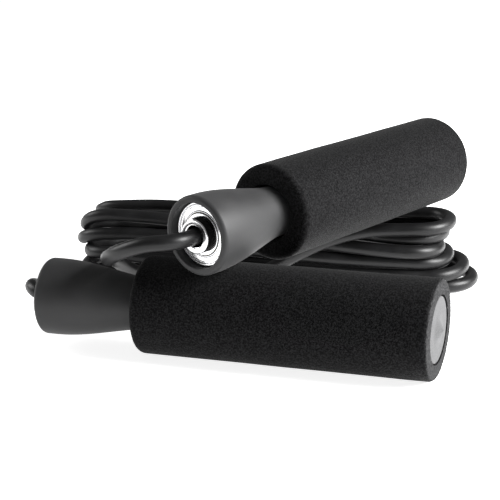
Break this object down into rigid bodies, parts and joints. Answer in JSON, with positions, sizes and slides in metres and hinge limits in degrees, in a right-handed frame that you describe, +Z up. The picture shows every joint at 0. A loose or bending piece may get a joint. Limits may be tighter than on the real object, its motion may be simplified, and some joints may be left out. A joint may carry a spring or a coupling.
{
  "type": "jump rope",
  "caption": "Jump rope with two weighted foam handles on ball bearings and a coiled black plastic rope.",
  "frame": {"origin": "on the floor under the middle of the box round the two crossed handles", "axes": "+X along the lower handle from its nose to its weight end, +Z up"},
  "size_m": [0.1889, 0.1741, 0.0763],
  "materials": {
    "black_foam": "matte closed-cell foam with a fine pebbled skin",
    "grey_plastic": "soft-touch moulded plastic",
    "bar_steel": "sawn and blasted bar end",
    "bright_steel": "polished",
    "plain_steel": "plain",
    "cage_brass": "pressed",
    "black_rope": "semi-gloss PVC"
  },
  "bodies": {
    "rope": {"rope_coil": "black_rope", "inner_race_1": "bright_steel", "rope_collar_1": "bright_steel", "stop_washer_1": "plain_steel", "rope_ferrule_1": "plain_steel", "rope_lead_1": "black_rope", "inner_race_2": "bright_steel", "rope_collar_2": "bright_steel", "stop_washer_2": "plain_steel", "rope_ferrule_2": "plain_steel", "rope_lead_2": "black_rope"},
    "handle_1": {"nose_housing_1": "grey_plastic", "foam_grip_1": "black_foam", "weight_bar_1": "bar_steel", "weight_screw_1": "plain_steel", "outer_race_1": "bright_steel", "front_shield_1": "bright_steel", "rear_shield_1": "plain_steel"},
    "handle_2": {"nose_housing_2": "grey_plastic", "foam_grip_2": "black_foam", "weight_bar_2": "bar_steel", "weight_screw_2": "plain_steel", "outer_race_2": "bright_steel", "front_shield_2": "bright_steel", "rear_shield_2": "plain_steel"},
    "cage_1": {"bearing_cage_1": "cage_brass", "ball_1_1": "bright_steel", "ball_1_2": "bright_steel", "ball_1_3": "bright_steel", "ball_1_4": "bright_steel", "ball_1_5": "bright_steel", "ball_1_6": "bright_steel", "ball_1_7": "bright_steel"},
    "cage_2": {"bearing_cage_2": "cage_brass", "ball_2_1": "bright_steel", "ball_2_2": "bright_steel", "ball_2_3": "bright_steel", "ball_2_4": "bright_steel", "ball_2_5": "bright_steel", "ball_2_6": "bright_steel", "ball_2_7": "bright_steel"}
  },
  "joints": [
    {"name": "handle_1_spin", "type": "hinge", "parent": "rope", "child": "handle_1", "pos_m": [-0.03725, -0.05447, 0.019], "axis": [1, 0, 0], "continuous": true},
    {"name": "handle_2_spin", "type": "hinge", "parent": "rope", "child": "handle_2", "pos_m": [0.00615, -0.03477, 0.0534], "axis": [0.4184, 0.9076, 0.0349], "continuous": true},
    {"name": "cage_1_spin", "type": "hinge", "parent": "rope", "child": "cage_1", "pos_m": [-0.03725, -0.05447, 0.019], "axis": [1, 0, 0], "continuous": true},
    {"name": "cage_2_spin", "type": "hinge", "parent": "rope", "child": "cage_2", "pos_m": [0.00615, -0.03477, 0.0534], "axis": [0.4184, 0.9076, 0.0349], "continuous": true}
  ],
  "couplings": [
    {"joint": "cage_1_spin", "follows": "handle_1_spin", "ratio": 0.58242},
    {"joint": "cage_2_spin", "follows": "handle_2_spin", "ratio": 0.58242}
  ]
}
